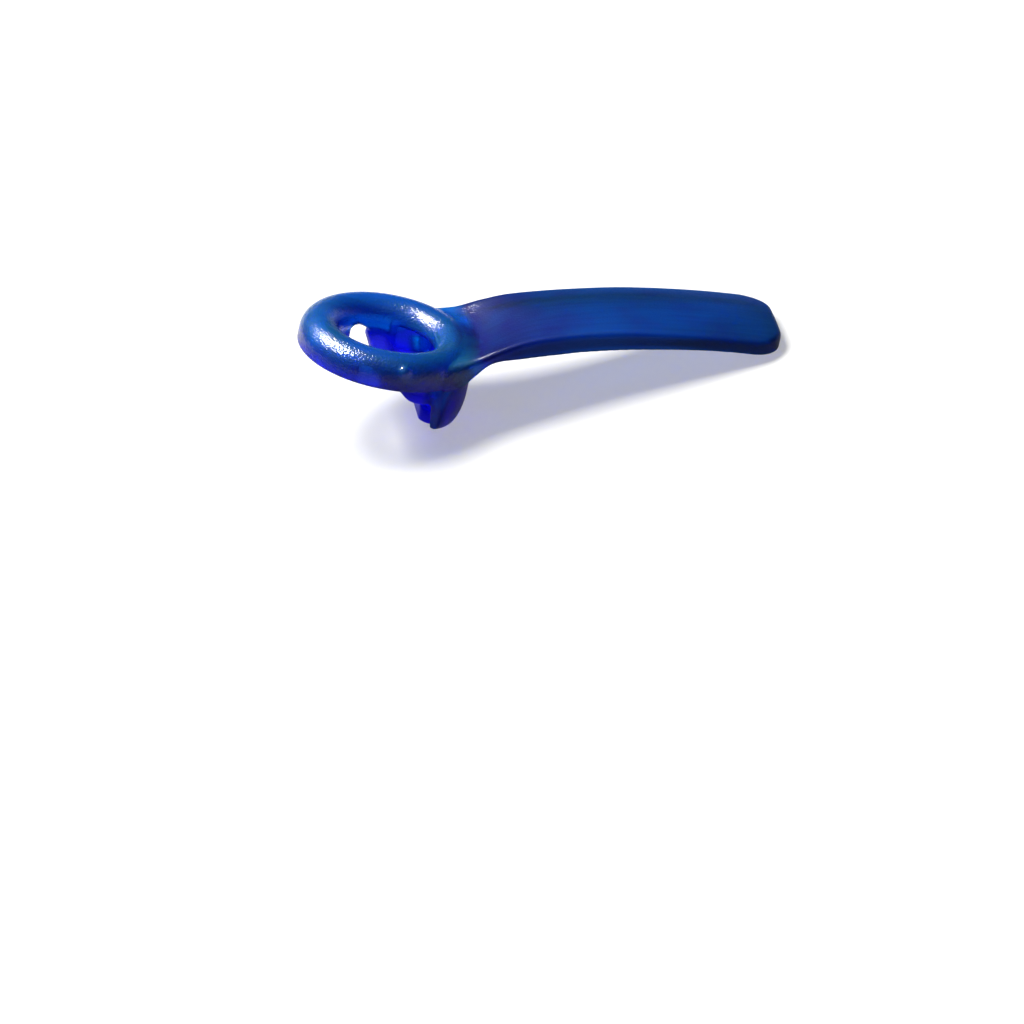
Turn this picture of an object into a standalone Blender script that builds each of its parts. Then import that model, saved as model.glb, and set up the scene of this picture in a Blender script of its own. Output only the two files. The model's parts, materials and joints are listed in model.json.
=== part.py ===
"""Lid lifter for jars: a ring head, a lifting claw under its rear half and a wide channel handle.

The object is one plastic moulding. It is built as the named sections of that moulding, each
a solid of its own, parted from its neighbours by a thin gap at the creases of the shape.
All sections are drawn in the head frame: origin at the centre of the ring, +X towards the
handle, +Z out of the ring's rounded side. The whole tool is then laid down as it rests on a
table, on the claw's heel and the handle's end.
"""

import bpy
import bmesh
from math import atan2, cos, hypot, pi, radians, sin, sqrt
from mathutils import Matrix, Vector

# ---------------------------------------------------------------- driving dimensions (mm)
MM = 0.001
GAP = 0.3                 # parting gap between neighbouring sections
WALL = 2.2                # general wall thickness of the moulding

RING_MID = 17.2           # radius of the circle that the ring's crest follows
RING_HALF = 5.1           # half width of the ring's rounded band
RING_CREST = 5.2          # crest above the ring's centre plane
RING_SKIRT = 2.8          # outer edge below the centre plane
RING_INNER_DROP = 0.8     # inner edge below the centre plane
RING_INNER_FLARE = 0.3    # how far the hole opens out at its lower edge
RING_OUTER = RING_MID + RING_HALF
RING_HOLLOW_SHIFT = 0.25  # the channel under the ring sits this much further out
RING_INNER_EDGE = 1.5     # width of the inner wall's lower edge
RING_RIM_EASE = 0.3       # rounding of the outer rim
RING_STEPS = 72

CLAW_HALF_ANGLE = radians(54)
CLAW_END_RAKE = radians(5)        # how far the prongs' front edges lean back at the bottom
CLAW_SIDE_ANGLE = radians(33)     # where the side prongs part from the rear wall
CLAW_OUTER = 22.0
CLAW_INNER = 18.0
CLAW_EDGE = 18.9          # radius at the blunt lower edge
CLAW_EDGE_EASE = 0.5      # easing of that edge on the inside
PRONG_GAP_ANGLE = GAP / CLAW_OUTER
CLAW_DEPTH_REAR = 17.0    # lowest edge at the middle of the rear wall
CLAW_DEPTH_END = 15.2     # lowest edge at the ends of the prongs
CLAW_BEND_START = 8.0     # depth at which the outer face starts to curve inwards

JAW_FRONT = -2.8          # straight front edge of the jaw plate
JAW_HALF_WIDTH = 15.5
JAW_THICKNESS = 2.0
JAW_PROFILE = ((-2.8, -5.1), (1.3, -5.3), (3.0, -6.4), (4.4, -7.7), (6.0, -8.5), (8.2, -8.7))
CHEEK_PLAN = (            # x and y of the outer face, then of the inner face
    (-1.4, 14.5, -1.4, 12.3), (0.2, 14.6, 0.2, 12.4), (1.8, 14.6, 1.8, 12.25),
    (3.2, 14.6, 3.2, 12.0), (4.2, 14.7, 4.4, 11.9), (5.2, 15.0, 5.8, 12.3),
    (6.2, 15.4, 7.2, 13.0), (7.2, 15.5, 9.0, 13.45), (8.2, 15.5, 11.2, 13.5))

FOOT_HALF_ANGLE = radians(55)     # half the arc of the foot, about the front of the ring
FOOT_INNER = 12.6
FOOT_BOTTOM = -5.2
FOOT_EASE = 0.4

LIP_FRONT = 10.2          # most forward point of the lifting lip
LIP_HALF_WIDTH = 9.6
LIP_CORNER = 3.2
LIP_BOTTOM = -16.4
LIP_FLOOR = -14.4
LIP_NOSE_TOP = -13.2
LIP_NOSE_WIDTH = 1.8
LIP_EASE = 0.5            # easing of the lip's edges

HANDLE_END = 97.0
HANDLE_CORNER = 8.0       # plan radius of the handle's end corners
END_ROLL = 1.5            # rounding of the top at the handle's far end
HANDLE_WALL = 2.0
ROLL_DROP = 0.2           # upright stretch between the rolled edge and the flange
TOP_BY_RADIUS = ((19.0, 2.9), (22.0, 4.4), (25.0, 5.9), (28.8, 8.3), (33.5, 10.8), (39.7, 12.9),
                 (49.0, 15.1), (61.6, 17.1), (79.2, 18.4), (98.5, 18.6))
ROLL_LINE = ((12.0, 4.2), (18.0, 3.2), (24.0, 2.0), (32.0, 1.5), (97.0, 1.5))
CROWN_LINE = ((20.0, 0.0), (25.0, 0.3), (30.0, 1.0), (40.0, 1.3), (60.0, 1.0), (97.0, 0.8))
FLANGE_EDGE_LINE = ((12.0, -2.6), (17.5, -1.6), (19.8, 0.8), (22.9, 4.0), (25.4, 5.2),
                    (30.7, 6.2), (39.7, 8.1), (46.3, 9.6), (60.0, 12.0), (78.0, 14.1),
                    (97.0, 14.8))
HALF_WIDTH_LINE = ((12.0, 18.9), (15.0, 18.0), (18.5, 17.1), (24.0, 16.0), (30.0, 15.0),
                   (37.0, 14.2), (48.0, 13.7), (70.0, 13.9), (90.0, 14.3), (97.0, 14.3))
FLANGE_START = 14.6
FLANGE_END = 88.0
FLANGE_EASE = 0.4

NUB_ANGLE = radians(-86.5)
NUB_RADIUS = 1.4
NUB_HEIGHT = 0.5
NUB_LEVEL = 2.6

BLUE = (0.004, 0.045, 0.36, 1.0)


# ---------------------------------------------------------------- curves
def through(knots, x):
    """Height of the smooth curve through the knots at x (cubic Hermite, central slopes)."""
    last = len(knots) - 1
    i = 0
    while i < last - 1 and x > knots[i + 1][0]:
        i += 1

    def slope(k):
        a, b = knots[max(k - 1, 0)], knots[min(k + 1, last)]
        return (b[1] - a[1]) / (b[0] - a[0])

    (x0, y0), (x1, y1) = knots[i], knots[i + 1]
    span = x1 - x0
    t = min(max((x - x0) / span, 0.0), 1.0)
    near = (1 + 2 * t) * (1 - t) ** 2 * y0 + t * (1 - t) ** 2 * span * slope(i)
    far = t * t * (3 - 2 * t) * y1 - t * t * (1 - t) * span * slope(i + 1)
    return near + far


def half_width(x):
    """Half the handle's width at x, with the round corners of its end."""
    width = through(HALF_WIDTH_LINE, x)
    into_corner = x - (HANDLE_END - HANDLE_CORNER)
    if into_corner > 0:
        width += sqrt(max(HANDLE_CORNER ** 2 - into_corner ** 2, 0.0)) - HANDLE_CORNER
    return width


def end_roll(x):
    """How far the handle's top has rolled over at its far end."""
    into_end = x - (HANDLE_END - END_ROLL)
    if into_end <= 0:
        return 0.0
    return END_ROLL - sqrt(max(END_ROLL ** 2 - into_end ** 2, 0.0))


def spread(start, end, count):
    """Evenly spaced values from start to end, both included."""
    return [start + (end - start) * k / (count - 1) for k in range(count)]


# ---------------------------------------------------------------- mesh makers
def plastic():
    material = bpy.data.materials.new("translucent_blue")
    material.use_nodes = True
    shader = material.node_tree.nodes["Principled BSDF"]
    shader.inputs["Base Color"].default_value = BLUE
    shader.inputs["Roughness"].default_value = 0.35
    shader.inputs["Metallic"].default_value = 0.0
    shader.inputs["Transmission Weight"].default_value = 0.6
    material.diffuse_color = BLUE
    return material


def add_object(name, mesh_builder, parent, material):
    """Make a mesh object from a bmesh drawn in millimetres, with its faces pointing out."""
    bmesh.ops.recalc_face_normals(mesh_builder, faces=mesh_builder.faces)
    bmesh.ops.scale(mesh_builder, vec=(MM, MM, MM), verts=mesh_builder.verts)
    mesh = bpy.data.meshes.new(name)
    mesh_builder.to_mesh(mesh)
    mesh_builder.free()
    mesh.materials.append(material)
    mesh.shade_smooth()
    mesh.set_sharp_from_angle(angle=radians(35))
    piece = bpy.data.objects.new(name, mesh)
    bpy.context.scene.collection.objects.link(piece)
    piece.parent = parent
    return piece


def swept(sections, closed=False):
    """Skin a row of closed sections, capped at both ends or joined into a ring."""
    work = bmesh.new()
    rows = [[work.verts.new(point) for point in section] for section in sections]
    count = len(rows[0])
    pairs = list(zip(rows, rows[1:]))
    if closed:
        pairs.append((rows[-1], rows[0]))
    for a, b in pairs:
        for k in range(count):
            n = (k + 1) % count
            work.faces.new((a[k], a[n], b[n], b[k]))
    if not closed:
        work.faces.new(rows[0])
        work.faces.new(rows[-1])
    return work


def slab(top, bottom):
    """Close the space between two grids of points that have the same rows and columns."""
    work = bmesh.new()
    upper = [[work.verts.new(point) for point in row] for row in top]
    lower = [[work.verts.new(point) for point in row] for row in bottom]
    rows, columns = len(upper), len(upper[0])
    for grid in (upper, lower):
        for i in range(rows - 1):
            for j in range(columns - 1):
                work.faces.new((grid[i][j], grid[i + 1][j], grid[i + 1][j + 1], grid[i][j + 1]))
    rim = [(0, j) for j in range(columns)]
    rim += [(i, columns - 1) for i in range(1, rows)]
    rim += [(rows - 1, j) for j in range(columns - 2, -1, -1)]
    rim += [(i, 0) for i in range(rows - 2, 0, -1)]
    for (i0, j0), (i1, j1) in zip(rim, rim[1:] + rim[:1]):
        work.faces.new((upper[i0][j0], upper[i1][j1], lower[i1][j1], lower[i0][j0]))
    return work


def around(profile, angle):
    """Place a profile of (radius, height) points in the vertical plane at an angle."""
    return [(r * cos(angle), r * sin(angle), z) for r, z in profile]


# ---------------------------------------------------------------- head
def ring_profile():
    """Section of the ring: a rounded band, hollow from below like a channel."""
    outside = []
    for k in range(15):
        turn = pi * k / 14
        outside.append((RING_MID + RING_HALF * cos(turn), RING_CREST * sin(turn)))
    edge_in = RING_MID - RING_HALF + RING_INNER_FLARE
    inside = []
    for k in range(9):
        turn = pi - pi * k / 8
        inside.append((RING_MID + RING_HOLLOW_SHIFT + (RING_HALF - WALL) * cos(turn),
                       (RING_CREST - WALL) * sin(turn)))
    inner_edge = [(edge_in, -RING_INNER_DROP), (edge_in + RING_INNER_EDGE, -RING_INNER_DROP)]
    rim = [(RING_OUTER - WALL, -RING_SKIRT), (RING_OUTER - 3 * RING_RIM_EASE, -RING_SKIRT),
           (RING_OUTER - RING_RIM_EASE, -RING_SKIRT + RING_RIM_EASE),
           (RING_OUTER - RING_RIM_EASE / 3, -RING_SKIRT + 3 * RING_RIM_EASE)]
    return outside + inner_edge + inside + rim


def head_ring():
    profile = ring_profile()
    return swept([around(profile, 2 * pi * k / RING_STEPS) for k in range(RING_STEPS)], closed=True)


def gate_nub():
    """Small round nub on the ring's outer shoulder."""
    rise = sqrt(1 - (NUB_LEVEL / RING_CREST) ** 2)
    foot = RING_MID + RING_HALF * rise
    lean = atan2(NUB_LEVEL / RING_CREST ** 2, rise / RING_HALF)
    work = bmesh.new()
    bmesh.ops.create_cone(work, cap_ends=True, segments=24, radius1=NUB_RADIUS,
                          radius2=NUB_RADIUS * 0.6, depth=NUB_HEIGHT)
    stand_off = GAP + NUB_HEIGHT / 2
    centre = Vector((foot + stand_off * cos(lean), 0, NUB_LEVEL + stand_off * sin(lean)))
    place = (Matrix.Rotation(NUB_ANGLE, 4, 'Z') @ Matrix.Translation(centre)
             @ Matrix.Rotation(pi / 2 - lean, 4, 'Y'))
    bmesh.ops.transform(work, matrix=place, verts=work.verts)
    return work


def front_foot():
    """Low arc wall under the front of the ring, which the tool rocks on."""
    top = -RING_INNER_DROP - GAP
    outer = FOOT_INNER + WALL
    profile = [(FOOT_INNER, top), (FOOT_INNER, FOOT_BOTTOM + FOOT_EASE),
               (FOOT_INNER + FOOT_EASE, FOOT_BOTTOM), (outer - FOOT_EASE, FOOT_BOTTOM),
               (outer, FOOT_BOTTOM + FOOT_EASE), (outer, top)]
    angles = spread(pi - FOOT_HALF_ANGLE, pi + FOOT_HALF_ANGLE, 23)
    return swept([around(profile, angle) for angle in angles])


# ---------------------------------------------------------------- claw and jaw
def claw_depth(angle):
    """Depth of the claw's lower edge, deepest at the middle of the rear wall."""
    part = min(abs(angle) / CLAW_HALF_ANGLE, 1.0)
    return CLAW_DEPTH_REAR + (CLAW_DEPTH_END - CLAW_DEPTH_REAR) * part * part


def claw_section(angle):
    """Section of the claw's wall: upright inside, curving in to a blunt edge outside."""
    depth = claw_depth(angle)
    past_side = abs(angle) - CLAW_SIDE_ANGLE - PRONG_GAP_ANGLE
    lean = CLAW_END_RAKE * max(past_side, 0.0) / (CLAW_HALF_ANGLE - CLAW_SIDE_ANGLE)
    top = -RING_SKIRT - GAP
    reach = depth - CLAW_BEND_START
    curve = []
    for k in range(7):
        turn = pi / 2 * k / 6
        curve.append((CLAW_EDGE + (CLAW_OUTER - CLAW_EDGE) * cos(turn),
                      -CLAW_BEND_START - reach * sin(turn)))
    profile = [(CLAW_INNER, top), (CLAW_OUTER, top)] + curve
    profile.append((CLAW_INNER + CLAW_EDGE_EASE / 2, -depth + CLAW_EDGE_EASE))
    section = []
    for r, z in profile:
        share = (top - z) / (top + depth)
        turned = angle - lean * share * share * (1 if angle > 0 else -1)
        section.append((r * cos(turned), r * sin(turned), z))
    return section


def claw_arc(start, end, steps):
    return swept([claw_section(angle) for angle in spread(start, end, steps)])


def claw_prong(side):
    return claw_arc(side * (CLAW_SIDE_ANGLE + PRONG_GAP_ANGLE), side * CLAW_HALF_ANGLE, 7)


def jaw_level(x):
    """Underside of the jaw plate at x."""
    return through(JAW_PROFILE, x)


def jaw_plate():
    """Stepped plate that closes the rear half of the hole and bears on the lid."""
    top, bottom = [], []
    step_end = JAW_PROFILE[-1][0]
    for y in spread(-JAW_HALF_WIDTH, JAW_HALF_WIDTH, 17):
        back = sqrt((CLAW_INNER - GAP) ** 2 - y * y)
        stations = spread(JAW_FRONT, step_end, 13) + [back]
        bottom.append([(x, y, jaw_level(x)) for x in stations])
        top.append([(x, y, jaw_level(x) + JAW_THICKNESS) for x in stations])
    return slab(top, bottom)


def jaw_cheek(side):
    """Upright wall from the ring's inner edge down to the jaw plate, curving out to the claw."""
    top = -RING_INNER_DROP - GAP
    sections = []
    for outer_x, outer_y, inner_x, inner_y in CHEEK_PLAN:
        low, low_inside = (jaw_level(x) + JAW_THICKNESS + GAP for x in (outer_x, inner_x))
        sections.append([(outer_x, side * outer_y, low), (inner_x, side * inner_y, low_inside),
                         (inner_x, side * inner_y, top), (outer_x, side * outer_y, top)])
    return swept(sections)


def lip_front(y):
    """Forward edge of the lifting lip: a tongue with round corners."""
    over = abs(y) - (LIP_HALF_WIDTH - LIP_CORNER)
    if over <= 0:
        return LIP_FRONT
    return LIP_FRONT + LIP_CORNER - sqrt(max(LIP_CORNER ** 2 - over * over, 0.0))


def lifting_lip():
    """Tongue from the claw's rear wall towards the lid, with a raised nose along its edge."""
    sections = []
    for k in range(21):
        y = -LIP_HALF_WIDTH * cos(pi * k / 20)
        front = lip_front(y)
        back = sqrt((CLAW_INNER - GAP) ** 2 - y * y)
        nose = front + LIP_NOSE_WIDTH
        sections.append([(front + LIP_EASE, y, LIP_BOTTOM), (back, y, LIP_BOTTOM),
                         (back, y, LIP_FLOOR), (nose + LIP_EASE, y, LIP_FLOOR),
                         (nose, y, LIP_NOSE_TOP), (front + LIP_EASE, y, LIP_NOSE_TOP),
                         (front, y, LIP_NOSE_TOP - LIP_EASE), (front, y, LIP_BOTTOM + LIP_EASE)])
    return swept(sections)


# ---------------------------------------------------------------- handle
def top_columns():
    """Across the handle: (side, inset, drop, None) on a rolled edge, else (1, 0, 0, place).

    Inset and drop are shares of the edge's rounding; place runs from -1 to 1 between the edges.
    """
    rolled = [pi / 2 * k / 4 for k in range(5)]
    columns = [(-1, 1 - cos(a), 1 - sin(a), None) for a in rolled]
    columns += [(1, 0.0, 0.0, place) for place in spread(-0.8, 0.8, 9)]
    columns += [(1, 1 - cos(a), 1 - sin(a), None) for a in reversed(rolled)]
    return columns


def top_point(column, x, under):
    """Point of the handle's top plate in a column at x, on its upper or under side."""
    side, inset, drop, place = column
    roll = through(ROLL_LINE, x)
    if place is None:
        y = side * (half_width(x) - roll * inset)
        level = through(TOP_BY_RADIUS, hypot(x, y))
        z = under_level(x) if under else level - max(roll * drop, end_roll(x))
    else:
        y = place * (half_width(x) - roll)
        level = through(TOP_BY_RADIUS, hypot(x, y))
        z = level + through(CROWN_LINE, x) * (1 - place * place)
        z -= HANDLE_WALL if under else end_roll(x)
    return (x, y, z)


def under_level(x):
    """Level where the rolled edge of the handle's top ends and the flange begins."""
    edge = through(TOP_BY_RADIUS, hypot(x, half_width(x)))
    return edge - through(ROLL_LINE, x) - ROLL_DROP


def clear_of_ring(x, y, z):
    """Whether a point lies outside the ring with the parting gap to spare."""
    radius = RING_MID + RING_HALF + GAP
    if z > 0:
        share = min(z / (RING_CREST + GAP), 1.0)
        radius = RING_MID + (RING_HALF + GAP) * sqrt(1 - share * share)
    return hypot(x, y) > radius


def root_of(column, under):
    """Where a column of the top plate starts, just clear of the ring."""
    inside, outside = 12.0, 27.0
    for _ in range(24):
        middle = (inside + outside) / 2
        if clear_of_ring(*top_point(column, middle, under)):
            outside = middle
        else:
            inside = middle
    return outside


def handle_top():
    """Arched, crowned plate with rolled edges, from the ring's shoulder to the handle's end."""
    corner_start = HANDLE_END - HANDLE_CORNER
    tail = [corner_start + HANDLE_CORNER * sin(pi / 2 * k / 8) for k in range(1, 9)]
    grids = []
    for under in (False, True):
        lines = []
        for column in top_columns():
            root = root_of(column, under)
            stations = [root + (corner_start - root) * (k / 22) for k in range(23)] + tail
            lines.append([top_point(column, x, under) for x in stations])
        grids.append(lines)
    return slab(*grids)


def flange_heights(x):
    """Lower and upper level of the side flanges at x."""
    return through(FLANGE_EDGE_LINE, x), under_level(x) - GAP


def handle_flange(side):
    """Side wall under the handle's top, flowing down to the ring and the claw at its root."""
    sections = []
    for x in spread(FLANGE_START, FLANGE_END, 40):
        low, high = flange_heights(x)
        outer = half_width(x)
        ring_edge = sqrt(max((RING_OUTER + GAP) ** 2 - x * x, 0.0))
        inner = max(outer - HANDLE_WALL, ring_edge)
        sections.append([(x, side * outer, low + FLANGE_EASE), (x, side * (outer - FLANGE_EASE), low),
                         (x, side * inner, low), (x, side * inner, high), (x, side * outer, high)])
    return swept(sections)


def end_path():
    """Plan points of the handle's end wall: (outer x, outer y, inner x, inner y)."""
    middle_x = HANDLE_END - HANDLE_CORNER
    middle_y = half_width(middle_x) - HANDLE_CORNER
    inside = HANDLE_CORNER - HANDLE_WALL
    corner = []
    for angle in spread(pi / 2, 0.0, 10):
        corner.append((middle_x + HANDLE_CORNER * cos(angle), middle_y + HANDLE_CORNER * sin(angle),
                       middle_x + inside * cos(angle), middle_y + inside * sin(angle)))
    start = FLANGE_END + GAP
    first = (start, half_width(start), start, half_width(start) - HANDLE_WALL)
    near = [first] + corner
    return near + [(ox, -oy, ix, -iy) for ox, oy, ix, iy in reversed(near)]


def handle_end():
    sections = []
    for outer_x, outer_y, inner_x, inner_y in end_path():
        low, high = flange_heights(outer_x)
        sections.append([(outer_x, outer_y, low), (inner_x, inner_y, low),
                         (inner_x, inner_y, high), (outer_x, outer_y, high)])
    return swept(sections)


# ---------------------------------------------------------------- assembly
def lay_down(frame):
    """Turn the tool onto the claw's heel and the handle's end, and centre its box over zero."""
    heel = Vector((CLAW_EDGE, 0, -CLAW_DEPTH_REAR))
    tail = Vector((HANDLE_END, 0, flange_heights(HANDLE_END)[0]))
    tilt = atan2(tail.z - heel.z, tail.x - heel.x)
    frame.matrix_world = Matrix.Rotation(tilt, 4, 'Y')
    bpy.context.view_layer.update()
    corners = [child.matrix_world @ vertex.co for child in frame.children
               for vertex in child.data.vertices]
    low_x, high_x = min(p.x for p in corners), max(p.x for p in corners)
    low_z = min(p.z for p in corners)
    frame.matrix_world = Matrix.Translation((-(low_x + high_x) / 2, 0, -low_z)) @ frame.matrix_world


def main():
    for old in list(bpy.data.objects):
        bpy.data.objects.remove(old)
    frame = bpy.data.objects.new("resting_pose", None)
    bpy.context.scene.collection.objects.link(frame)
    material = plastic()
    builders = {
        "head_ring": head_ring(),
        "gate_nub": gate_nub(),
        "front_foot": front_foot(),
        "claw_rear_wall": claw_arc(-CLAW_SIDE_ANGLE, CLAW_SIDE_ANGLE, 19),
        "claw_prong_right": claw_prong(-1),
        "claw_prong_left": claw_prong(1),
        "lifting_lip": lifting_lip(),
        "jaw_plate": jaw_plate(),
        "jaw_cheek_right": jaw_cheek(-1),
        "jaw_cheek_left": jaw_cheek(1),
        "handle_top": handle_top(),
        "handle_flange_right": handle_flange(-1),
        "handle_flange_left": handle_flange(1),
        "handle_end": handle_end(),
    }
    for name, mesh_builder in builders.items():
        add_object(name, mesh_builder, frame, material)
    lay_down(frame)


main()
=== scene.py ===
"""Looks of the lid lifter: one continuous translucent blue moulding over the CAD frame.

The moulding is described as distance fields of its sections (ring, claw, jaw, lip, foot,
handle), joined with soft fillets and meshed in one skin. Lengths in those fields are in
millimetres in the head frame: origin at the ring's centre, +X towards the handle, +Z out of
the ring's rounded side. The record's mount on the foot says how that frame lies in the world.
"""

import json
from math import atan2, cos, pi, radians, sin

import bpy
import numpy as np
from mathutils import Matrix, Vector


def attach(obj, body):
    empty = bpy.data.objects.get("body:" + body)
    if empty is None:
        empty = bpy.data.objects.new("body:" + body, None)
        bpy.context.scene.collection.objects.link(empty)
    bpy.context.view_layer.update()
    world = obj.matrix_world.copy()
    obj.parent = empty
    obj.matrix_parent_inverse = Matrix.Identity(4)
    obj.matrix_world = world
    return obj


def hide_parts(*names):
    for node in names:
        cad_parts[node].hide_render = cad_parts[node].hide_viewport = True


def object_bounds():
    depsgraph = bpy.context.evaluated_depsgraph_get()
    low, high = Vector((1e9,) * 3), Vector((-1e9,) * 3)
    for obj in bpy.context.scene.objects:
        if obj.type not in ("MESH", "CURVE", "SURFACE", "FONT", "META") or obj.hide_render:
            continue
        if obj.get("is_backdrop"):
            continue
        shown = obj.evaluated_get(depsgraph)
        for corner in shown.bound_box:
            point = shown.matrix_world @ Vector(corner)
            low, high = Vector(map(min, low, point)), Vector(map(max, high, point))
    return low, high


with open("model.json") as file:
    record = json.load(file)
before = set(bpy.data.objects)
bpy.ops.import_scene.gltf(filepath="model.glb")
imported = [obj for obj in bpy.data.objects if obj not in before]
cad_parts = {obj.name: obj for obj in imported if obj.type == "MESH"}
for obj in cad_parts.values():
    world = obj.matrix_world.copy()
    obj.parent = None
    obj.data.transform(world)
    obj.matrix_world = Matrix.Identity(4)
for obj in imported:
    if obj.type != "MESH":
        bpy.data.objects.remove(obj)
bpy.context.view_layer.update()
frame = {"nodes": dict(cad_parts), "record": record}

MM = 0.001

# ---------------------------------------------------------------- sizes of the moulding (mm)
CELL = 0.45               # grid step of the skin

RING_MID, RING_HALF, RING_CREST = 17.2, 5.1, 5.2
RING_OUTER = RING_MID + RING_HALF
RING_SKIRT = 2.8
RING_DROP_REAR, RING_DROP_FRONT = 0.5, 1.2     # the inner edge below the centre plane
RING_INNER_FLARE = 0.3                         # how much wider the hole is below that plane
CHANNEL_MID, CHANNEL_HALF, CHANNEL_CREST = 17.45, 2.9, 3.0

CLAW_HALF_ANGLE = radians(54)
CLAW_END_RAKE = radians(5)
CLAW_INNER, CLAW_EDGE, CLAW_OUTER = 18.0, 18.9, 22.0
CLAW_DEPTH_REAR, CLAW_DEPTH_END, CLAW_BEND_START = 17.0, 15.2, 8.0
CLAW_TUCK = 0.8           # top of the claw below the centre plane, as a share of the skirt

JAW_FRONT, JAW_HALF_WIDTH, JAW_THICKNESS = -2.8, 15.5, 2.0
JAW_PROFILE = ((-2.8, -5.1), (1.3, -5.3), (3.0, -6.4), (4.4, -7.7), (6.0, -8.5), (8.2, -8.7))
JAW_SUNK, LIP_SUNK = 0.3, 0.4                  # how far they run into the claw's wall
CHEEK_THICKNESS, CHEEK_FRONT = 2.0, 3.4
APRON_INNER, APRON_OUTER = 12.2, 14.5          # wall from the hole's edge down to the plate
APRON_END, APRON_START, APRON_SLANT = radians(70), radians(98), radians(6.4)

FOOT_HALF_ANGLE = radians(55)
FOOT_INNER, FOOT_WALL, FOOT_BOTTOM, FOOT_EASE = 12.6, 2.2, -5.2, 0.4

LIP_FRONT, LIP_HALF_WIDTH, LIP_CORNER = 10.2, 9.6, 3.2
LIP_BOTTOM, LIP_FLOOR, LIP_NOSE_TOP, LIP_NOSE_WIDTH = -16.4, -14.4, -13.2, 1.8

HANDLE_START, HANDLE_END, HANDLE_CORNER, HANDLE_WALL = 12.0, 97.0, 8.0, 2.0
HANDLE_LEAST_INNER_ROLL = 0.9
TOP_BY_RADIUS = ((19.0, 2.9), (22.0, 4.4), (25.0, 5.9), (28.8, 8.3), (33.5, 10.8), (39.7, 12.9),
                 (49.0, 15.1), (61.6, 17.1), (79.2, 18.4), (98.5, 18.6))
ROLL_LINE = ((12.0, 4.2), (18.0, 3.2), (24.0, 2.0), (32.0, 1.5), (97.0, 1.5))
CROWN_LINE = ((20.0, 0.0), (25.0, 0.3), (30.0, 1.0), (40.0, 1.3), (60.0, 1.0), (97.0, 0.8))
FLANGE_EDGE_LINE = ((12.0, -2.6), (17.5, -1.6), (19.8, 0.8), (22.9, 4.0), (25.4, 5.2),
                    (30.7, 6.2), (39.7, 8.1), (46.3, 9.6), (60.0, 12.0), (78.0, 14.1),
                    (97.0, 14.8))
HALF_WIDTH_LINE = ((12.0, 18.9), (15.0, 18.0), (18.5, 17.1), (24.0, 16.0), (30.0, 15.0),
                   (37.0, 14.2), (48.0, 13.7), (70.0, 13.9), (90.0, 14.3), (97.0, 14.3))

NUB_ANGLE, NUB_LEVEL, NUB_RADIUS, NUB_SUNK = radians(-86.5), 2.6, 1.8, 1.0

ROUND_TO_BLEND = 1.17     # blend width that gives a rounding of radius one
EDGE_BLEND = 0.55         # eased outer edges
FILLET = 1.1              # fillets between the sections
NOSE_FILLET, NUB_FILLET = 0.6, 0.5
CREASE_LEAST, CREASE = 0.3, 3.0                # fillet where the handle rises out of the ring
CREASE_START, CREASE_FULL = 12.5, 20.0         # x over which that fillet grows

SKIN_MARGIN = (1.0, 1.5, 1.0)                  # room round the moulding in the grid
SKIN_TOP = 21.0
SLOPE_STEP = 0.04                              # for the field's slope
LEAST_SLOPE_SQUARED, LONGEST_MOVE = 0.25, 0.3  # limits of one pull onto the surface
SPACING_ROUNDS, PULLS = 2, 2

# ---------------------------------------------------------------- looks of the plastic
BASE_INDEX, COAT_INDEX, COAT_ROUGHNESS = 1.17, 1.35, 0.13
TRANSMISSION, BASE_SPECULAR = 0.93, 0.04
DEPTH_COLOR, DEPTH_DENSITY = (0.36, 0.60, 0.93, 1.0), 1200.0

TINT_LOW = (0.080, 0.045, 0.97, 1.0)
TINT_SKIRT = (0.016, 0.066, 0.34, 1.0)
TINT_CREST = (0.004, 0.30, 0.62, 1.0)
TINT_PAD = (0.018, 0.026, 0.20, 1.0)
TINT_HANDLE = (0.003, 0.130, 0.34, 1.0)
TINT_STOPS = ((0.12, TINT_LOW), (0.32, TINT_SKIRT), (0.44, TINT_CREST), (0.62, TINT_CREST),
              (0.80, TINT_PAD), (0.98, TINT_HANDLE))

# Ramps over the tool: from and to in the head frame's mm, then the values at those two ends.
HEIGHT_BY_Z = (-10.0, 20.0, 0.0, 1.0)          # up the head, before all other shifts
HOLE_BY_RADIUS = (15.5, 18.5, 0.30, 0.0)       # the hole's wall, faded out over the ring
HOLE_WALL_BY_RADIUS = (10.5, 12.5, 0.15, 1.0)  # little of it on the plate in the hole
HOLE_FRONT_BY_X = (4.0, 9.0, 1.0, 0.0)         # all of it in front ...
HOLE_HIGH_BY_Z = (0.0, 5.0, 0.0, 1.0)          # ... and only high up at the rear
HOLE_LOW_BY_Z = (-4.0, 0.0, 0.1, 1.0)          # fading out below the centre plane
PRONG_LIGHT_BY_X = (13.0, 16.5, 0.40, 0.0)           # painted light: the claw's front edges go lighter teal
PRONG_LIGHT_BY_Z = (-4.0, -3.0, 1.0, 0.0)            # below the ring only
PRONG_LIGHT_BY_SIDE = (10.5, 12.0, 0.25, 1.0)        # little of it on the jaw plate
PRONG_LIGHT_START_BY_X = (8.0, 12.0, 0.2, 1.0)       # and on the cheeks
REAR_BY_X = (14.0, 22.0, 0.0, 0.28)            # the ring's rear and the handle's start
REAR_BY_Z = (-4.0, -1.0, 0.30, 1.0)            # little of it on the claw
REAR_HANDLE_BY_X = (22.0, 26.0, 0.0, 1.0)      # all of it on the handle
HANDLE_BY_X = (28.0, 50.0, 0.0, 0.14)
HEAD_LIMIT = 0.56                              # the head stays short of the pad's tint
CLOUD_SCALE, CLOUD_DETAIL, CLOUD_SHIFT = 0.09, 3.0, 0.12

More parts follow.
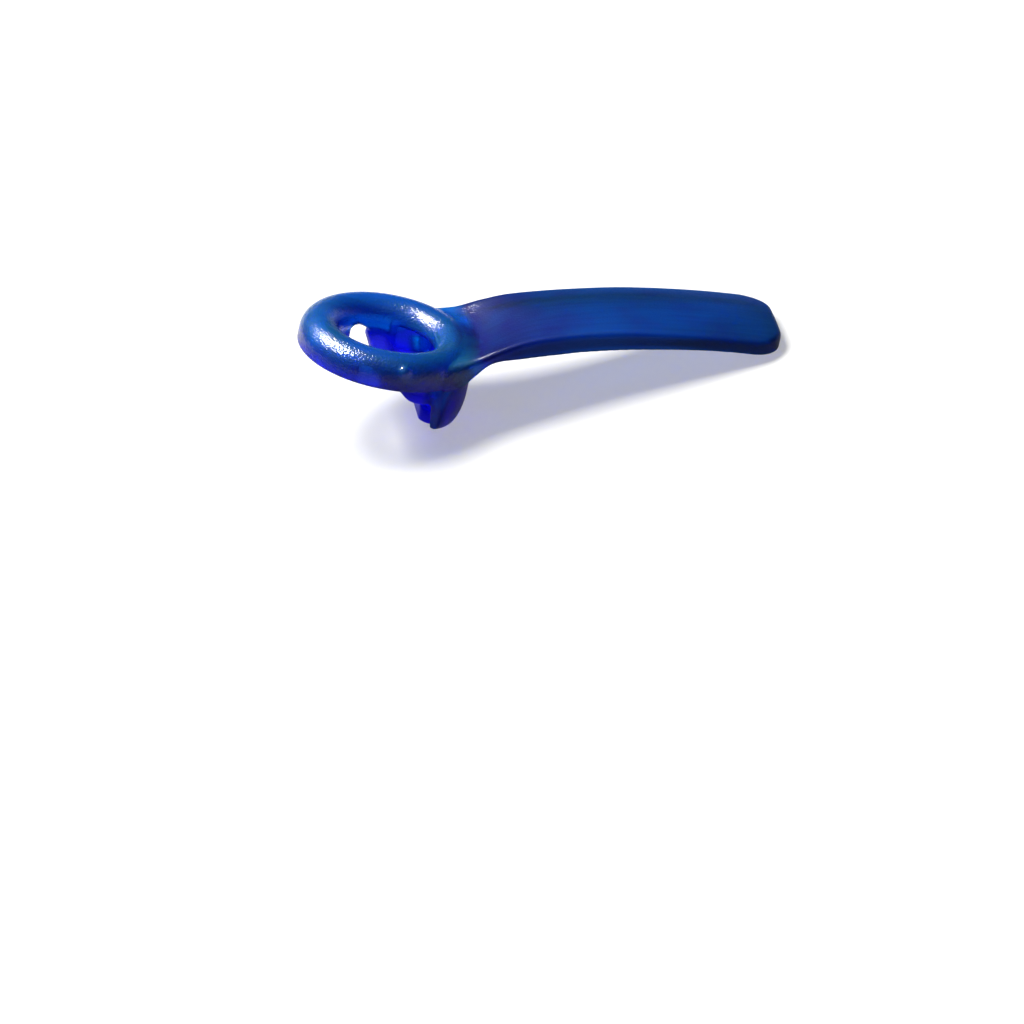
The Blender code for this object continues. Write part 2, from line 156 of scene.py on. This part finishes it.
PAINTED_SIDE_SHADE = 0.38                              # painted shade: the handle's side walls against its top
PAINTED_SHADE_BY_FACING = (0.15, 0.75, PAINTED_SIDE_SHADE, 1.0)
PAINTED_SHADE_BY_X = (16.0, 26.0, 1.0, PAINTED_SIDE_SHADE)      # none of the painted shade on the head
FLOW_SCALE, FLOW_DETAIL = (0.04, 0.7, 0.12), 3.0
STREAKS_BY_FLOW = (0.3, 0.7, 0.86, 1.12)

GRAIN_SCALE, GRAIN_DETAIL = 2.0, 1.0
ROUGHNESS_BY_GRAIN = (0.3, 0.7, 0.44, 0.58)
BUMP_STRENGTH, BUMP_DISTANCE = 0.55, 0.0003
BUMP_BY_X = (14.0, 24.0, 1.0, 0.4)             # the handle is smoother than the ring
GLOSS_BY_Z = (-4.0, 0.5, 0.15, 1.0)            # the coat: full on the ring only
GLOSS_BY_X = (17.0, 27.0, 1.0, 0.15)


# ---------------------------------------------------------------- field helpers
def through(knots, x):
    """Smooth curve through the knots, for an array of x (cubic Hermite, central slopes)."""
    xs = np.array([k[0] for k in knots])
    ys = np.array([k[1] for k in knots])
    before = np.maximum(np.arange(len(xs)) - 1, 0)
    after = np.minimum(np.arange(len(xs)) + 1, len(xs) - 1)
    slopes = (ys[after] - ys[before]) / (xs[after] - xs[before])
    i = np.clip(np.searchsorted(xs, x) - 1, 0, len(xs) - 2)
    span = xs[i + 1] - xs[i]
    t = np.clip((x - xs[i]) / span, 0.0, 1.0)
    near = (1 + 2 * t) * (1 - t) ** 2 * ys[i] + t * (1 - t) ** 2 * span * slopes[i]
    far = t * t * (3 - 2 * t) * ys[i + 1] - t * t * (1 - t) * span * slopes[i + 1]
    return near + far


def slope_of(knots, x):
    """Slope of the curve at x, by a short central difference."""
    step = 0.05
    return (through(knots, x + step) - through(knots, x - step)) / (2 * step)


def soft_max(a, b, width):
    """The larger of two fields, rounded over where they are within width of each other."""
    blend = np.maximum(width - np.abs(a - b), 0.0)
    return np.maximum(a, b) + blend * blend / (4 * width)


def soft_min(a, b, width):
    """The smaller of two fields, rounded in the same way."""
    return -soft_max(-a, -b, width)


def all_of(width, *fields):
    """Intersection of fields with eased edges."""
    result = fields[0]
    for field in fields[1:]:
        result = soft_max(result, field, width)
    return result


def rounded_corner(qx, qy, radius):
    """Plan distance to a corner of that radius; qx and qy run out past its centre lines."""
    outside = np.hypot(np.maximum(qx, 0.0), np.maximum(qy, 0.0))
    return outside + np.minimum(np.maximum(qx, qy), 0.0) - radius


# ---------------------------------------------------------------- sections of the moulding
def arch(r, z, middle, half, crest):
    """A round arch over a channel: elliptical above the centre plane, upright walls below."""
    across = (r - middle) / half
    up = np.maximum(z, 0.0) / crest
    reach = np.sqrt(across ** 2 + up ** 2) + 1e-9
    steepness = np.sqrt((across / half) ** 2 + (up / crest) ** 2) / reach + 1e-9
    return (reach - 1.0) / steepness


def ring_outside(r, z):
    """The ring's outer form, with the hole flaring out below the centre plane."""
    flare = RING_INNER_FLARE * np.minimum(z * z, 1.0) * (z < 0)
    inner = (RING_MID - RING_HALF + flare) - r
    return np.where(z > 0, arch(r, z, RING_MID, RING_HALF, RING_CREST),
                    np.maximum(inner, r - RING_OUTER))


def ring(r, turn, z):
    """The round ring, hollow from below, its inner edge lower towards the front."""
    to_front = np.clip((np.abs(turn) - APRON_END) / (pi / 2 - APRON_END), 0.0, 1.0)
    inner_drop = RING_DROP_REAR + (RING_DROP_FRONT - RING_DROP_REAR) * to_front
    lowest = np.where(r < RING_MID, -inner_drop, -RING_SKIRT)
    channel = arch(r, z, CHANNEL_MID, CHANNEL_HALF, CHANNEL_CREST)
    return all_of(EDGE_BLEND, ring_outside(r, z), lowest - z, -channel)


def nub(x, y, z):
    """A ball partly sunk in the ring's shoulder."""
    rise = np.sqrt(1 - (NUB_LEVEL / RING_CREST) ** 2)
    radius = RING_MID + RING_HALF * rise - NUB_SUNK * rise
    level = NUB_LEVEL - NUB_SUNK * NUB_LEVEL / RING_CREST
    centre = (radius * cos(NUB_ANGLE), radius * sin(NUB_ANGLE), level)
    return np.sqrt((x - centre[0]) ** 2 + (y - centre[1]) ** 2 + (z - centre[2]) ** 2) - NUB_RADIUS


def foot(r, turn, z):
    """The low arc wall under the front of the ring."""
    from_front = pi - np.abs(turn)
    return all_of(2 * FOOT_EASE, FOOT_INNER - r, r - FOOT_INNER - FOOT_WALL, FOOT_BOTTOM - z,
                  z + RING_DROP_FRONT / 2, (from_front - FOOT_HALF_ANGLE) * r)


def claw(r, turn, z):
    """The wall under the ring's rear, its outside curving in towards the lip."""
    part = np.minimum(np.abs(turn) / CLAW_HALF_ANGLE, 1.0)
    depth = CLAW_DEPTH_REAR + (CLAW_DEPTH_END - CLAW_DEPTH_REAR) * part * part
    wide, tall = CLAW_OUTER - CLAW_EDGE, depth - CLAW_BEND_START
    across = np.maximum(r - CLAW_EDGE, 0.0) / wide
    down = np.maximum(-CLAW_BEND_START - z, 0.0) / tall
    reach = np.sqrt(across ** 2 + down ** 2) + 1e-9
    steepness = np.sqrt((across / wide) ** 2 + (down / tall) ** 2) / reach + 1e-9
    outside = (reach - 1.0) / steepness
    share = np.clip((-RING_SKIRT - z) / (depth - RING_SKIRT), 0.0, 1.0)
    end = (np.abs(turn) - CLAW_HALF_ANGLE + CLAW_END_RAKE * share * share) * r
    return all_of(EDGE_BLEND, outside, CLAW_INNER - r, end, z + CLAW_TUCK * RING_SKIRT)


def jaw(x, y, r, turn, z):
    """The stepped plate, the two cheeks that close its step and the apron below the hole."""
    level = through(JAW_PROFILE, x)
    upright = 1.0 / np.sqrt(1 + slope_of(JAW_PROFILE, x) ** 2)
    middle = level + JAW_THICKNESS / 2
    inside_claw = r - CLAW_INNER - JAW_SUNK
    plate = all_of(EDGE_BLEND, (np.abs(z - middle) - JAW_THICKNESS / 2) * upright,
                   np.abs(y) - JAW_HALF_WIDTH, JAW_FRONT - x, inside_claw)
    cheek = all_of(EDGE_BLEND, np.abs(y) - JAW_HALF_WIDTH,
                   JAW_HALF_WIDTH - CHEEK_THICKNESS - np.abs(y), CHEEK_FRONT - x,
                   inside_claw, (middle - z) * upright, z)
    start = APRON_START + APRON_SLANT * (z - JAW_PROFILE[0][1] - JAW_THICKNESS)
    apron = all_of(EDGE_BLEND, APRON_INNER - r, r - APRON_OUTER, (APRON_END - np.abs(turn)) * r,
                   (np.abs(turn) - start) * r, (middle - z) * upright, z)
    return soft_min(plate, soft_min(cheek, apron, FILLET), FILLET)


def lip(x, y, r, z):
    """The lifting tongue, with a raised nose along its forward edge."""
    plan = rounded_corner(LIP_FRONT + LIP_CORNER - x, np.abs(y) - LIP_HALF_WIDTH + LIP_CORNER,
                          LIP_CORNER)
    floor = all_of(EDGE_BLEND, plan, z - LIP_FLOOR, LIP_BOTTOM - z, r - CLAW_INNER - LIP_SUNK)
    nose = all_of(EDGE_BLEND, plan, -plan - LIP_NOSE_WIDTH, z - LIP_NOSE_TOP, LIP_BOTTOM - z,
                  x - LIP_FRONT - LIP_CORNER)
    return soft_min(floor, nose, NOSE_FILLET)


def handle(x, y, r, z):
    """Crowned top with rolled edges over a channel, cut off along the flanges' lower edge."""
    width = through(HALF_WIDTH_LINE, x)
    roll = through(ROLL_LINE, x)
    place = np.clip(y / (width - roll), -1.0, 1.0)
    top = through(TOP_BY_RADIUS, r) + through(CROWN_LINE, x) * (1 - place * place)
    upright = 1.0 / np.sqrt(1 + slope_of(TOP_BY_RADIUS, r) ** 2)
    above = (z - top) * upright
    plan = rounded_corner(x - HANDLE_END + HANDLE_CORNER, np.abs(y) - width + HANDLE_CORNER,
                          HANDLE_CORNER)
    outside = soft_max(above, plan, ROUND_TO_BLEND * roll)
    hollow = soft_max(above + HANDLE_WALL, plan + HANDLE_WALL,
                      ROUND_TO_BLEND * np.maximum(roll - HANDLE_WALL, HANDLE_LEAST_INNER_ROLL))
    edge = through(FLANGE_EDGE_LINE, x) - z
    edge /= np.sqrt(1 + slope_of(FLANGE_EDGE_LINE, x) ** 2)
    in_ring_wall = -(ring_outside(r, z) + HANDLE_WALL / 2)
    return all_of(EDGE_BLEND, outside, -hollow, edge, in_ring_wall, HANDLE_START - x)


def moulding(points):
    """Distance to the whole moulding's surface, negative inside the plastic."""
    x, y, z = points[..., 0], points[..., 1], points[..., 2]
    r = np.hypot(x, y)
    turn = np.arctan2(y, x)
    body = ring(r, turn, z)
    body = soft_min(body, claw(r, turn, z), FILLET)
    body = soft_min(body, jaw(x, y, r, turn, z), FILLET)
    body = soft_min(body, lip(x, y, r, z), FILLET)
    body = soft_min(body, foot(r, turn, z), FILLET)
    body = soft_min(body, nub(x, y, z), NUB_FILLET)
    grown = np.clip((x - CREASE_START) / (CREASE_FULL - CREASE_START), 0.0, 1.0)
    crease = CREASE_LEAST + (CREASE - CREASE_LEAST) * grown * grown * (3 - 2 * grown)
    return soft_min(body, handle(x, y, r, z), crease)


# ---------------------------------------------------------------- meshing
def sampled(low, high):
    """Field values on a grid over the box, and the grid's own coordinates."""
    axes = [np.arange(a, b + CELL, CELL) for a, b in zip(low, high)]
    values = np.empty([len(axis) for axis in axes], dtype=np.float32)
    for i, x in enumerate(axes[0]):
        y, z = np.meshgrid(axes[1], axes[2], indexing="ij")
        values[i] = moulding(np.stack([np.full_like(y, x), y, z], axis=-1))
    return values, np.array([axis[0] for axis in axes])


def surface_net(values, start):
    """Vertices and quads of the zero surface: one vertex per cell that the surface crosses."""
    cells = tuple(n - 1 for n in values.shape)
    total = np.zeros(cells + (3,), dtype=np.float32)
    count = np.zeros(cells, dtype=np.int16)
    crossings = []
    inside = values < 0
    for axis in range(3):
        near = [slice(None)] * 3
        far = [slice(None)] * 3
        near[axis] = slice(0, -1)
        far[axis] = slice(1, None)
        a, b = values[tuple(near)], values[tuple(far)]
        cut = inside[tuple(near)] != inside[tuple(far)]
        where = np.argwhere(cut)
        share = a[cut] / (a[cut] - b[cut])
        position = where.astype(np.float32)
        position[:, axis] += share
        others = [k for k in range(3) if k != axis]
        for da in (0, -1):
            for db in (0, -1):
                cell = where.copy()
                cell[:, others[0]] += da
                cell[:, others[1]] += db
                key = tuple(cell.T)
                np.add.at(total, key, position)
                np.add.at(count, key, 1)
        crossings.append((axis, others, where, inside[tuple(near)][cut]))
    used = count > 0
    index = np.full(cells, -1, dtype=np.int64)
    index[used] = np.arange(used.sum())
    vertices = start + CELL * total[used] / count[used][:, None]
    quads = []
    for axis, others, where, leaving in crossings:
        ring_of_cells = []
        for da, db in ((-1, -1), (0, -1), (0, 0), (-1, 0)):
            cell = where.copy()
            cell[:, others[0]] += da
            cell[:, others[1]] += db
            ring_of_cells.append(index[tuple(cell.T)])
        quad = np.stack(ring_of_cells, axis=1)
        flip = leaving if axis != 1 else ~leaving
        quad[~flip] = quad[~flip][:, ::-1]
        quads.append(quad)
    return vertices, np.concatenate(quads)


def onto_surface(points, rounds):
    """Pull points onto the moulding's surface along the field's slope."""
    for _ in range(rounds):
        value = moulding(points)
        slope = np.empty_like(points)
        for axis in range(3):
            offset = np.zeros(3)
            offset[axis] = SLOPE_STEP
            rise = moulding(points + offset) - moulding(points - offset)
            slope[:, axis] = rise / (2 * SLOPE_STEP)
        length = np.maximum((slope ** 2).sum(axis=1), LEAST_SLOPE_SQUARED)
        move = -(value / length)[:, None] * slope
        size = np.linalg.norm(move, axis=1, keepdims=True)
        points = points + move * np.minimum(1.0, LONGEST_MOVE / np.maximum(size, 1e-9))
    return points


def relaxed(points, quads):
    """Even out the spacing of the points: each moves half way to the mean of its neighbours."""
    total = np.zeros_like(points)
    count = np.zeros(len(points))
    for a, b in ((0, 1), (1, 2), (2, 3), (3, 0)):
        for p, q in ((a, b), (b, a)):
            np.add.at(total, quads[:, p], points[quads[:, q]])
            np.add.at(count, quads[:, p], 1)
    return 0.5 * points + 0.5 * total / count[:, None]


def head_to_world():
    """Where the head frame lies in the world, from the record's mount on the foot's edge."""
    mount = next(m for m in frame["record"]["mounts"] if m["name"] == "foot_on_lid")
    tilt = atan2(-mount["axis"][0], -mount["axis"][2])
    foot_point = Vector((-(FOOT_INNER + FOOT_WALL / 2), 0.0, FOOT_BOTTOM)) * MM
    return (Matrix.Translation(Vector(mount["pos_m"])) @ Matrix.Rotation(tilt, 4, 'Y')
            @ Matrix.Translation(-foot_point) @ Matrix.Scale(MM, 4))


def build_moulding():
    """Mesh the moulding's skin as one object, laid in the world."""
    aside = RING_OUTER + SKIN_MARGIN[1]
    low = (-RING_OUTER - SKIN_MARGIN[0], -aside, -CLAW_DEPTH_REAR - SKIN_MARGIN[2])
    high = (HANDLE_END + SKIN_MARGIN[0], aside, SKIN_TOP)
    values, start = sampled(low, high)
    points, quads = surface_net(values, start)
    points = onto_surface(points.astype(np.float64), PULLS)
    for _ in range(SPACING_ROUNDS):
        points = onto_surface(relaxed(points, quads), PULLS)
    mesh = bpy.data.meshes.new("lifter_moulding")
    mesh.from_pydata(points.tolist(), [], quads.tolist())
    mesh.transform(head_to_world())
    mesh.shade_smooth()
    mesh.update()
    piece = bpy.data.objects.new("lifter_moulding", mesh)
    bpy.context.scene.collection.objects.link(piece)
    return piece


# ---------------------------------------------------------------- materials
FLOOR_SIZE, FLOOR_ROUGHNESS, FLOOR_GREYS, FLOOR_GLOW = 6.0, 0.8, (0.118, 0.124), 3.0
MOTTLE_SCALE = 14.0


def blue_plastic(head):
    """Translucent tinted plastic with a fine spark-eroded skin.

    Worked out in the head frame, in millimetres. The tint goes by place on the tool: violet low
    on the head, teal on the ring and high in its hole, and navy along the handle. Painted light
    makes the claw's front edges lighter, and painted shade darkens the handle's side walls.
    """
    material = bpy.data.materials.new("translucent_blue_plastic")
    material.use_nodes = True
    nodes, links = material.node_tree.nodes, material.node_tree.links
    shader = nodes["Principled BSDF"]
    shader.inputs["IOR"].default_value = BASE_INDEX
    shader.inputs["Transmission Weight"].default_value = TRANSMISSION
    shader.inputs["Specular IOR Level"].default_value = BASE_SPECULAR
    shader.inputs["Coat Roughness"].default_value = COAT_ROUGHNESS
    shader.inputs["Coat IOR"].default_value = COAT_INDEX

    def math(operation, *values):
        node = nodes.new("ShaderNodeMath")
        node.operation = operation
        for socket, value in zip(node.inputs, values):
            if isinstance(value, (int, float)):
                socket.default_value = value
            else:
                links.new(value, socket)
        return node.outputs["Value"]

    def ranged(source, low, high, to_low, to_high):
        node = nodes.new("ShaderNodeMapRange")
        for name, value in (("From Min", low), ("From Max", high),
                            ("To Min", to_low), ("To Max", to_high)):
            node.inputs[name].default_value = value
        links.new(source, node.inputs["Value"])
        return node.outputs["Result"]

    def mapped(source, place, turn, size):
        node = nodes.new("ShaderNodeMapping")
        node.inputs["Location"].default_value = place
        node.inputs["Rotation"].default_value = turn
        node.inputs["Scale"].default_value = size
        links.new(source, node.inputs["Vector"])
        return node.outputs["Vector"]

    def noise(source, scale, detail):
        node = nodes.new("ShaderNodeTexNoise")
        node.inputs["Scale"].default_value = scale
        node.inputs["Detail"].default_value = detail
        links.new(source, node.inputs["Vector"])
        return node.outputs["Fac"]

    where = nodes.new("ShaderNodeTexCoord")
    place, turn, size = head.inverted().decompose()
    point = mapped(where.outputs["Object"], place, turn.to_euler(), size)
    parts = nodes.new("ShaderNodeSeparateXYZ")
    links.new(point, parts.inputs["Vector"])
    x, y, z = (parts.outputs[axis] for axis in "XYZ")
    radius = math('SQRT', math('ADD', math('MULTIPLY', x, x), math('MULTIPLY', y, y)))

    height = ranged(z, *HEIGHT_BY_Z)
    in_front_or_high = math('MAXIMUM', ranged(x, *HOLE_FRONT_BY_X), ranged(z, *HOLE_HIGH_BY_Z))
    on_wall = math('MULTIPLY', ranged(radius, *HOLE_WALL_BY_RADIUS), in_front_or_high)
    in_hole = math('MULTIPLY', ranged(radius, *HOLE_BY_RADIUS), on_wall)
    in_hole = math('MULTIPLY', in_hole, ranged(z, *HOLE_LOW_BY_Z))
    # Painted light: the claw's front edges and the cheeks beside them are shifted to the lighter
    # teal tint.
    prong_light_beside = math('MULTIPLY', ranged(math('ABSOLUTE', y), *PRONG_LIGHT_BY_SIDE),
                  ranged(x, *PRONG_LIGHT_START_BY_X))
    painted_prong_light = math('MULTIPLY', ranged(x, *PRONG_LIGHT_BY_X), ranged(z, *PRONG_LIGHT_BY_Z))
    painted_prong_light = math('MULTIPLY', painted_prong_light, prong_light_beside)
    in_head = math('ADD', height, math('MAXIMUM', in_hole, painted_prong_light))
    in_head = math('MINIMUM', in_head, HEAD_LIMIT)
    above = math('MAXIMUM', ranged(z, *REAR_BY_Z), ranged(x, *REAR_HANDLE_BY_X))
    at_rear = math('MULTIPLY', ranged(x, *REAR_BY_X), above)
    along = math('ADD', at_rear, ranged(x, *HANDLE_BY_X))
    clouds = ranged(noise(point, CLOUD_SCALE, CLOUD_DETAIL), 0.0, 1.0, -CLOUD_SHIFT, CLOUD_SHIFT)
    spread = math('ADD', in_head, math('ADD', along, clouds))

    tint = nodes.new("ShaderNodeValToRGB")
    stops = tint.color_ramp.elements
    stops[0].position, stops[0].color = TINT_STOPS[0]
    stops[1].position, stops[1].color = TINT_STOPS[-1]
    for position, color in TINT_STOPS[1:-1]:
        stops.new(position).color = color
    links.new(spread, tint.inputs["Fac"])

    # Painted shade: the tint on the handle's side walls is darkened against its top, by the way
    # they face on the tool.
    facing = nodes.new("ShaderNodeVectorMath")
    facing.operation = 'DOT_PRODUCT'
    facing.inputs[1].default_value = (head.to_3x3() @ Vector((0, 0, 1))).normalized()
    links.new(where.outputs["Normal"], facing.inputs[0])
    upright = ranged(math('ABSOLUTE', facing.outputs["Value"]), *PAINTED_SHADE_BY_FACING)
    painted_side_shade = math('MAXIMUM', upright, ranged(x, *PAINTED_SHADE_BY_X))

    flow = noise(mapped(point, (0, 0, 0), (0, 0, 0), FLOW_SCALE), 1.0, FLOW_DETAIL)
    # The flow streaks and the painted side shade both multiply the tint.
    streaks_and_painted_shade = nodes.new("ShaderNodeMix")
    streaks_and_painted_shade.data_type = 'RGBA'
    streaks_and_painted_shade.blend_type = 'MULTIPLY'
    streaks_and_painted_shade.inputs["Factor"].default_value = 1.0
    links.new(tint.outputs["Color"], streaks_and_painted_shade.inputs["A"])
    links.new(math('MULTIPLY', ranged(flow, *STREAKS_BY_FLOW), painted_side_shade), streaks_and_painted_shade.inputs["B"])
    links.new(streaks_and_painted_shade.outputs["Result"], shader.inputs["Base Color"])

    grain = noise(point, GRAIN_SCALE, GRAIN_DETAIL)
    links.new(ranged(grain, *ROUGHNESS_BY_GRAIN), shader.inputs["Roughness"])
    bump = nodes.new("ShaderNodeBump")
    bump.inputs["Strength"].default_value = BUMP_STRENGTH
    bump.inputs["Distance"].default_value = BUMP_DISTANCE
    links.new(math('MULTIPLY', grain, ranged(x, *BUMP_BY_X)), bump.inputs["Height"])
    links.new(bump.outputs["Normal"], shader.inputs["Normal"])
    links.new(bump.outputs["Normal"], shader.inputs["Coat Normal"])
    gloss = math('MINIMUM', ranged(z, *GLOSS_BY_Z), ranged(x, *GLOSS_BY_X))
    links.new(gloss, shader.inputs["Coat Weight"])

    depth = nodes.new("ShaderNodeVolumeAbsorption")
    depth.inputs["Color"].default_value = DEPTH_COLOR
    depth.inputs["Density"].default_value = DEPTH_DENSITY
    links.new(depth.outputs["Volume"], nodes["Material Output"].inputs["Volume"])
    return material


def paper():
    """Faintly mottled floor that glows a little, so that it reads as a white background."""
    material = bpy.data.materials.new("pale_floor")
    material.use_nodes = True
    nodes, links = material.node_tree.nodes, material.node_tree.links
    shader = nodes["Principled BSDF"]
    shader.inputs["Roughness"].default_value = FLOOR_ROUGHNESS
    where = nodes.new("ShaderNodeTexCoord")
    mottle = nodes.new("ShaderNodeTexNoise")
    mottle.inputs["Scale"].default_value = MOTTLE_SCALE
    links.new(where.outputs["Object"], mottle.inputs["Vector"])
    tone = nodes.new("ShaderNodeValToRGB")
    for stop, grey in zip(tone.color_ramp.elements, FLOOR_GREYS):
        stop.color = (grey, grey, grey, 1.0)
    links.new(mottle.outputs["Fac"], tone.inputs["Fac"])
    links.new(tone.outputs["Color"], shader.inputs["Base Color"])
    links.new(tone.outputs["Color"], shader.inputs["Emission Color"])
    shader.inputs["Emission Strength"].default_value = FLOOR_GLOW
    return material


# ---------------------------------------------------------------- stage, light and camera
VIEW_AZIMUTH, VIEW_ELEVATION, VIEW_ROLL = radians(-2.65), radians(28.68), radians(-12.31)
VIEW_DISTANCE = 1.5       # along the view, from the camera to the ring's centre
VIEW_ASIDE, VIEW_ABOVE = -0.03118, 0.04223     # the ring's centre in the view, right and up
LENS, SENSOR, CLIP_END = 211.5, 36.0, 20.0

# Each soft box: name, direction from the ring, distance, size, watts, and its long axis.
SOFT_BOXES = (
    ("key_box", (-0.33, 0.22, 0.92), 1.0, (0.60, 0.56), 62.0, (0.1, 0.87, -0.5)),
    ("fill_box", (0.6, -0.7, 0.9), 1.6, (0.8, 0.8), 0.6, (1, 0, 0)),
    ("ceiling_box", (-0.05, -0.1, 1.0), 1.3, (1.2, 1.2), 1.5, (1, 0, 0)),
)
SKY_STRENGTH = 0.02


def build_floor(level):
    """A wide square floor, which belongs to the stage and not to the tool."""
    mesh = bpy.data.meshes.new("floor")
    half = FLOOR_SIZE / 2
    corners = [(x * half, y * half, level) for x, y in ((-1, -1), (1, -1), (1, 1), (-1, 1))]
    mesh.from_pydata(corners, [], [(0, 1, 2, 3)])
    floor = bpy.data.objects.new("floor", mesh)
    bpy.context.scene.collection.objects.link(floor)
    mesh.materials.append(paper())
    floor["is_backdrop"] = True


def view_axes():
    """The camera's right, up and back directions."""
    out = cos(VIEW_ELEVATION)
    back = Vector((sin(VIEW_AZIMUTH) * out, -cos(VIEW_AZIMUTH) * out, sin(VIEW_ELEVATION)))
    level = Vector((0, 0, 1)).cross(back).normalized()
    upright = back.cross(level)
    right = level * cos(VIEW_ROLL) + upright * sin(VIEW_ROLL)
    return right, back.cross(right), back


def build_camera(target):
    """A long lens that holds the target at its place in the picture."""
    right, up, back = view_axes()
    camera = bpy.data.objects.new("camera", bpy.data.cameras.new("camera"))
    camera.data.lens = LENS
    camera.data.sensor_width = SENSOR
    camera.data.clip_end = CLIP_END
    turn = Matrix((right, up, back)).transposed().to_4x4()
    place = target - right * VIEW_ASIDE - up * VIEW_ABOVE + back * VIEW_DISTANCE
    camera.matrix_world = Matrix.Translation(place) @ turn
    bpy.context.scene.collection.objects.link(camera)
    bpy.context.scene.camera = camera


def soft_light(name, target, direction, distance, size, power, long_axis):
    """A rectangular soft box that faces the target, its length along long_axis."""
    lamp = bpy.data.lights.new(name, 'AREA')
    lamp.shape = 'RECTANGLE'
    lamp.size, lamp.size_y = size
    lamp.energy = power
    light = bpy.data.objects.new(name, lamp)
    back = Vector(direction).normalized()
    along = Vector(long_axis)
    along = (along - back * along.dot(back)).normalized()
    across = along.cross(back)
    turn = Matrix((across, along, back)).transposed().to_4x4()
    light.matrix_world = Matrix.Translation(target + back * distance) @ turn
    bpy.context.scene.collection.objects.link(light)


def build_lights(target):
    """Soft boxes, a faint white sky, and the tone look."""
    for name, *setting in SOFT_BOXES:
        soft_light(name, target, *setting)
    world = bpy.data.worlds.new("studio")
    bpy.context.scene.world = world
    world.use_nodes = True
    sky = world.node_tree.nodes["Background"]
    sky.inputs["Color"].default_value = (1.0, 1.0, 1.0, 1.0)
    sky.inputs["Strength"].default_value = SKY_STRENGTH
    bpy.context.scene.view_settings.view_transform = 'Standard'
    bpy.context.scene.view_settings.look = 'Medium High Contrast'


# ---------------------------------------------------------------- put together
moulded = build_moulding()
moulded.data.materials.append(blue_plastic(head_to_world()))
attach(moulded, "root")
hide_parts(*sorted(frame["nodes"]))
ring_centre = head_to_world().translation
build_floor(min(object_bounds()[0][2], 0.0))
build_lights(ring_centre)
build_camera(ring_centre)
